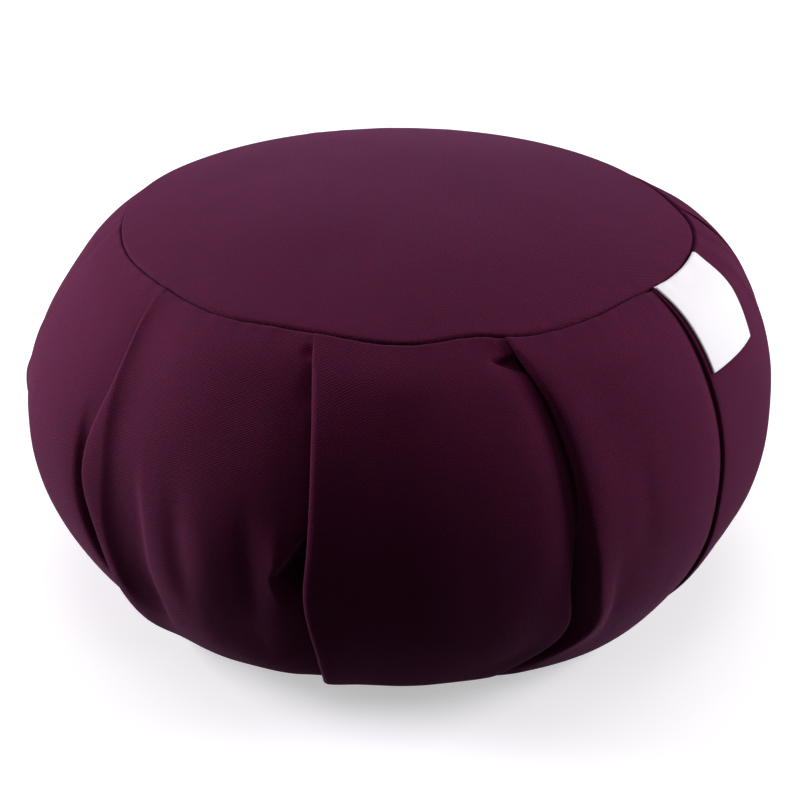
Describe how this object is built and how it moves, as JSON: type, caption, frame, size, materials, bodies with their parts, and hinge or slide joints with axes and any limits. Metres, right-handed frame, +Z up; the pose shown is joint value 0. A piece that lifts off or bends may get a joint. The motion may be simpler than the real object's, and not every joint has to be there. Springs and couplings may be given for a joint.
{
  "type": "zafu meditation cushion",
  "caption": "Round pleated floor cushion with a crowned top panel, knife-pleated side, flat base and a plain sewn-in label, for sitting in meditation.",
  "frame": {"origin": "centre of the flat base, on the surface that the cushion rests on", "axes": "+Z up through the crown, -Y towards the viewer, +X to the viewer's right, towards the label"},
  "size_m": [0.3613, 0.3569, 0.1972],
  "materials": {
    "cover_cloth": "plum cotton twill, matt",
    "label_cloth": "bare white woven label"
  },
  "bodies": {
    "root": {"pleated_side": "cover_cloth", "top_panel": "cover_cloth", "bottom_panel": "cover_cloth", "side_label": "label_cloth"}
  },
  "joints": []
}
